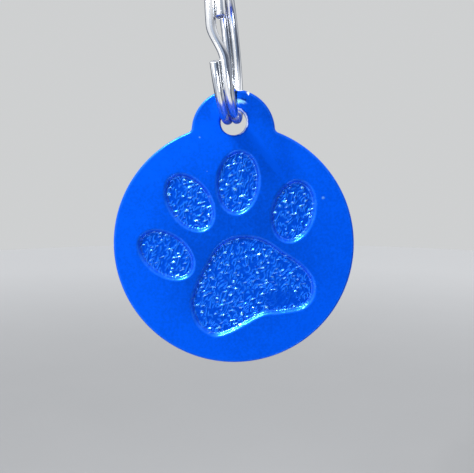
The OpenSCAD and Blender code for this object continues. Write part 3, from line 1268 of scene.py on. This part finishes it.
@dataclass
class SplitRing:
    """The split ring: one wire in two turns, cranked from the left turn into the right one at its front.

    Angles count along the wire from its lower cut end.

    Attributes:
        hole: Middle of the tag's hole, in metres of the row frame.
        node: The CAD node that it stands for.
        body: The CAD body that it rides on.
        ring_d: Outer diameter.
        wire_t: Thickness of the wire, from the eye outwards.
        wire_w: Width of one turn.
        wire_corner_r: Radius of the wire's corners.
        turn_gap: Gap between the turns.
        upper_end_a: Angle of the upper cut end above the ring's front.
        crank_a: Angle between the cut ends, where the wire changes turns.
        crank_rest_a: Part of that angle, next to the upper cut end, over which the wire still runs straight.
        lean: Lean of the ring to the left in degrees.
        turn: Turn of the ring out of square with the tag in degrees.
        burr: How far the cut ends' edges are worn back.
        burr_steps: Rows of points along that wear.
        wire_steps: Rows of points along the wire.
        corner_steps: Points round a corner of the wire, less one.
        steel: The finish.
    """

    hole: Sequence[float]
    node: str = "split_ring"
    body: str = "ring"
    ring_d: float = 20.0
    wire_t: float = 1.35
    wire_w: float = 1.18
    wire_corner_r: float = 0.55
    turn_gap: float = 0.04
    upper_end_a: float = 10.5
    crank_a: float = 30.0
    crank_rest_a: float = 5.0
    lean: float = 5.0
    turn: float = -4.0
    burr: float = 0.09
    burr_steps: int = 6
    wire_steps: int = 700
    corner_steps: int = 10
    steel: RingSteel = field(default_factory=RingSteel)

    def __post_init__(self) -> None:
        """Works out the sizes that follow."""
        self.eye_r = self.ring_d / 2 - self.wire_t
        self.wire_r = (self.ring_d - self.wire_t) / 2
        self.turn_a = 360 - self.crank_a
        self.length_a = 2 * self.turn_a + self.crank_a

    def to_frame(self, points: Array) -> Array:
        """Points (sideways, back, up) from the ring's centre in millimetres as metres of the row frame.

        The ring's eye hangs from the origin: the centre is moved down by the eye's radius, and all is
        leaned about Y and turned about Z.
        """
        b, c = math.radians(-self.lean), math.radians(self.turn)
        x, y, z = points[..., 0], points[..., 1], points[..., 2] - self.eye_r
        x, z = x * math.cos(b) + z * math.sin(b), z * math.cos(b) - x * math.sin(b)
        x, y = x * math.cos(c) - y * math.sin(c), x * math.sin(c) + y * math.cos(c)
        return MM * np.stack([x, y, z], axis=-1)

    def section(self) -> Array:
        """Section (outwards, sideways) of the wire, counterclockwise: four round corners, flats between."""
        half = np.array([self.wire_t, self.wire_w]) / 2 - self.wire_corner_r
        parts = []
        for corner, (across, up) in enumerate([(1, 1), (-1, 1), (-1, -1), (1, -1)]):
            middle = half * (across, up)
            points = arc(middle, self.wire_corner_r, 90 * corner, 90 * (corner + 1), self.corner_steps)
            parts.append(np.vstack([points, middle + self.wire_corner_r * self.compass(corner + 1)]))
        return np.concatenate(parts)

    @staticmethod
    def compass(quarter: int) -> Array:
        """Unit vector at a number of quarter turns."""
        return np.array([math.cos(quarter * math.pi / 2), math.sin(quarter * math.pi / 2)])

    def rows(self) -> tuple[Array, Array]:
        """Angles along the wire, and how much the worn round ends shrink its section at each."""
        burr_a = math.degrees(self.burr / self.wire_r)
        worn = np.radians(np.linspace(0, 90, self.burr_steps))
        near_a, near_shrink = burr_a * (1 - np.cos(worn)), self.burr * (1 - np.sin(worn))
        middle = np.linspace(near_a[-1], self.length_a - near_a[-1], self.wire_steps)[1:-1]
        angles = np.concatenate([near_a, middle, self.length_a - near_a[::-1]])
        return angles, np.concatenate([near_shrink, np.zeros(len(middle)), near_shrink[::-1]])

    def build(self) -> bpy.types.Object:
        """The wire's section is carried along the ring's circle. It lies pitch / 2 left of the middle for a
        turn, crosses along half a cosine wave, and lies as far to the right for the other turn.

        Returns:
            The ring.
        """
        along, shrink = self.rows()
        pitch = self.wire_w + self.turn_gap
        crossing = (along - self.turn_a - self.crank_rest_a) / (self.crank_a - self.crank_rest_a)
        sideways = pitch * (half_wave(crossing) - 0.5)
        section = self.section()
        size = np.linalg.norm(section, axis=-1)
        scaled = section[None] * (1 - shrink[:, None] / size[None])[..., None]
        start_a = 180 - self.upper_end_a + self.crank_a
        a = np.radians(start_a + along)[:, None]
        out, side = self.wire_r + scaled[..., 0], sideways[:, None] + scaled[..., 1]
        surface = Surface()
        grid = surface.add(np.stack([side, out * np.cos(a), out * np.sin(a)], axis=-1), end=0.0)
        surface.skin(grid)
        for row, order in ((0, -1), (-1, 1)):
            middle = [sideways[row], self.wire_r * math.cos(a[row, 0]), self.wire_r * math.sin(a[row, 0])]
            number = surface.add(np.array([middle]), end=1.0)
            surface.fan(grid[row][::order], int(number[0]))
        piece = surface.make("wound_ring", self.to_frame)
        self.lay_map(piece, along, section)
        piece.data.materials.append(self.steel.material(self.hole))
        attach(piece, self.body)
        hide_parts(self.node)
        return piece

    def lay_map(self, piece: bpy.types.Object, along: Array, section: Array) -> None:
        """Gives the piece a map whose u is the length along the wire and whose v is the way round it.

        Args:
            piece: The ring.
            along: Angle of each row of points.
            section: The wire's section.
        """
        around = np.concatenate([[0], np.cumsum(np.linalg.norm(np.diff(section, axis=0), axis=-1))])
        lengths = np.radians(along) * self.wire_r
        flat = np.stack(np.broadcast_arrays(lengths[:, None], around[None]), axis=-1).reshape(-1, 2)
        ends = np.array([[lengths[0], 0.0], [lengths[-1], 0.0]])
        per_point = np.concatenate([flat, ends])
        corners = np.zeros(len(piece.data.loops), dtype=np.int32)
        piece.data.loops.foreach_get("vertex_index", corners)
        layer = piece.data.uv_layers.new(name="wire")
        layer.uv.foreach_set("vector", per_point[corners].astype(np.float32).ravel())


# The studio


@dataclass(frozen=True)
class AreaLamp:
    """A soft lamp.

    Attributes:
        name: Its name.
        place: Where it stands from the middle of the tag's face, in millimetres.
        size: Width and height.
        power: Its power in milliwatts.
        gloss_only: Whether it shows in reflections alone, as a far window does.
        beam: Angle in degrees that its light spreads over.
    """

    name: str
    place: tuple[float, float, float]
    size: tuple[float, float]
    power: float
    gloss_only: bool = False
    beam: float = 90.0

    def build(self, aim: Array) -> None:
        """Makes the lamp and turns it to a point of the row frame, in metres."""
        data = bpy.data.lights.new(self.name, "AREA")
        data.shape = "RECTANGLE"
        data.size, data.size_y = (side * MM for side in self.size)
        data.energy = self.power * MM
        data.spread = math.radians(self.beam)
        lamp = bpy.data.objects.new(self.name, data)
        lamp.visible_diffuse = not self.gloss_only
        place = Vector((aim + MM * np.array(self.place)).tolist())
        lamp.location = place
        lamp.rotation_mode = "QUATERNION"
        lamp.rotation_quaternion = (Vector(aim.tolist()) - place).to_track_quat("-Z", "Y")
        bpy.context.scene.collection.objects.link(lamp)


@dataclass(frozen=True)
class Patch:
    """A soft patch of the world, its bounds being shares of the way to the right X, back Y and up Z.

    Attributes:
        bounds: By axis, where it starts and where it is full.
        strength: How much it counts.
    """

    bounds: dict[str, tuple[float, float]]
    strength: float = 1.0

    def mask(self, way: dict[str, Value]) -> Value:
        """The patch: the product of a soft step along each axis that bounds it, and its strength."""
        steps = [way[axis].step(start, full) for axis, (start, full) in self.bounds.items()]
        return math.prod(steps[1:], start=steps[0]) * self.strength


@dataclass(frozen=True)
class Studio:
    """Plain pale floor under the hanging tag, a world like a dim room with pale walls, and soft lamps.

    Attributes:
        drop: How far the floor lies below the tag.
        reach: Radius of the floor.
        pale: Colour of the floor under the tag, darker there as painted shade.
        far: Its colour far away.
        fade: From what distance to what distance it changes.
        floor_mottle: Wave and detail of its faint mottle.
        mottle_share: How strong that is.
        matt: How rough the floor is.
        backdrop: Colour that the camera sees behind the floor.
        dusk: Colour of the world where nothing else is.
        haze: Its colour where it is hazy.
        bright: Its colour where it is bright.
        hazes: The hazy patches: one in front and one low in front.
        glows: The bright patches: above, at the left, at the right and straight below.
        lamps: The lamps.
    """

    drop: float = 50.0
    reach: float = 500.0
    pale: Colour = (0.4, 0.405, 0.41)
    far: Colour = (0.74, 0.745, 0.745)
    fade: tuple[float, float] = (60.0, 420.0)
    floor_mottle: tuple[float, float] = (25.0, 2.0)
    mottle_share: float = 0.05
    matt: float = 0.9
    backdrop: Colour = (0.62, 0.63, 0.635)
    dusk: Colour = (0.14, 0.16, 0.21)
    haze: Colour = (0.42, 0.52, 0.7)
    bright: Colour = (1.0, 1.01, 1.03)
    hazes: tuple[Patch, ...] = (
        Patch({"Y": (-0.2, -0.9), "X": (0.55, 0.1)}),
        Patch({"Z": (-0.3, -0.7), "Y": (0.2, -0.3), "X": (0.6, 0.2)}, 0.55),
    )
    glows: tuple[Patch, ...] = (
        Patch({"Z": (0.15, 0.8)}, 0.9),
        Patch({"X": (-0.05, -0.3), "Y": (0.5, 0.1)}, 1.1),
        Patch({"X": (0.4, 0.8), "Y": (-0.1, 0.3)}, 0.6),
        Patch({"Z": (-0.85, -0.97)}, 0.9),
    )
    lamps: tuple[AreaLamp, ...] = (
        AreaLamp("key", (-95, -95, 168), (20, 20), 50.0),
        AreaLamp("window", (-110, -60, 175), (80, 45), 260.0, gloss_only=True),
        AreaLamp("top", (-60, -80, 180), (38, 38), 33.0),
        AreaLamp("left", (-120, -120, -90), (60, 90), 14.0),
        AreaLamp("fill", (80, -110, -150), (90, 90), 38.0),
    )

    def build(self, aim: Array) -> None:
        """Makes the floor, the world and the lamps.

        Args:
            aim: Middle of the tag's face in metres of the row frame.
        """
        low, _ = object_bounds()
        height = low.z - self.drop * MM
        rim = arc((0, 0), self.reach * MM, 0, 360, CIRCLE_STEPS)
        surface = Surface()
        loop = surface.add(np.column_stack([rim, np.full(len(rim), height)]))
        middle = surface.add(np.array([[0.0, 0.0, height]]))
        surface.fan(loop, int(middle[0]))
        floor = surface.make("floor", lambda points: points)
        floor.data.materials.append(self.floor_material())
        floor.visible_glossy = False
        floor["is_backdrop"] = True
        self.build_world()
        for lamp in self.lamps:
            lamp.build(aim)

    def floor_material(self) -> bpy.types.Material:
        """Matt pale paint, darker under the tag as painted shade and lighter far away, with a faint mottle.
        """
        material, shader = new_material("pale_floor")
        away = shader.from_point((0, 0, 0), (1, 1, 0)).step(*self.fade)
        paint = shader.mix(away + shader.grain(*self.floor_mottle) * self.mottle_share, self.pale, self.far)
        shader.finish({"Base Color": paint, "Roughness": self.matt})
        return material

    def build_world(self) -> None:
        """Makes the world: one pale colour to the camera, and the dusk, hazes and glows to all else."""
        world = bpy.data.worlds.new("soft_sky")
        world.use_nodes = True
        bpy.context.scene.world = world
        shader = Shader(world.node_tree)
        way = Value(shader, shader.node("ShaderNodeTexCoord").outputs["Generated"])
        parts = shader.node("ShaderNodeSeparateXYZ", {}, {"Vector": way})
        axes = {axis: Value(shader, parts.outputs[axis]) for axis in "XYZ"}
        haze = shader.largest(*(patch.mask(axes) for patch in self.hazes))
        glow = sum(patch.mask(axes) for patch in self.glows)
        sky = shader.mix(glow, shader.mix(haze, self.dusk, self.haze), self.bright)
        seen = Value(shader, shader.node("ShaderNodeLightPath").outputs["Is Camera Ray"])
        light = shader.node("ShaderNodeBackground", {}, {"Color": shader.mix(seen, sky, self.backdrop)})
        output = {"Surface": Value(shader, light.outputs["Background"])}
        shader.node("ShaderNodeOutputWorld", {}, output)


@dataclass
class PhotoCamera:
    """The photograph's camera, found by fitting the disc, ear, hole and ring in perspective.

    Attributes:
        place: Where it stands from the middle of the tag's face, in millimetres.
        view: The direction in which it looks.
        focal_px: Focal length in pixels of the photograph.
        photo_w: Width of the photograph in pixels.
        sensor_w: Width of the sensor in millimetres.
        clip: Nearest and farthest distance that it sees, in metres.
    """

    place: tuple[float, float, float] = (2.19, -84.21, 11.41)
    view: tuple[float, float, float] = (-0.02, 0.9926, -0.1197)
    focal_px: float = 639.8
    photo_w: float = 474.0
    sensor_w: float = 36.0
    clip: tuple[float, float] = (0.001, 100.0)

    def build(self, aim: Array) -> None:
        """Makes the camera and sets it as the scene's.

        Args:
            aim: Middle of the tag's face in metres of the row frame.
        """
        data = bpy.data.cameras.new("photo_camera")
        data.sensor_fit = "HORIZONTAL"
        data.sensor_width = self.sensor_w
        data.lens = self.focal_px / self.photo_w * self.sensor_w
        data.clip_start, data.clip_end = self.clip
        camera = bpy.data.objects.new("photo_camera", data)
        camera.location = Vector((aim + MM * np.array(self.place)).tolist())
        camera.rotation_mode = "QUATERNION"
        camera.rotation_quaternion = Vector(self.view).to_track_quat("-Z", "Y")
        bpy.context.scene.collection.objects.link(camera)
        bpy.context.scene.camera = camera


def main() -> None:
    """Loads the frame, builds the camera, the studio and each piece."""
    logging.basicConfig(level=logging.INFO, format="%(name)s: %(message)s")
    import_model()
    tag = TagBlank()
    face_middle = tag.to_frame(np.array([0.0, 0.0, tag.tag_t / 2]))
    PhotoCamera().build(face_middle)
    Studio().build(face_middle)
    ring = SplitRing(hole=tag.to_frame(np.array([*tag.hole, 0.0])).tolist())
    for builder in (tag, ring):
        piece = builder.build()
        LOG.info("%s: %d faces", piece.name, len(piece.data.polygons))
    bpy.context.scene.view_settings.view_transform = "Standard"
    bpy.context.view_layer.update()


if __name__ == "__main__":
    main()
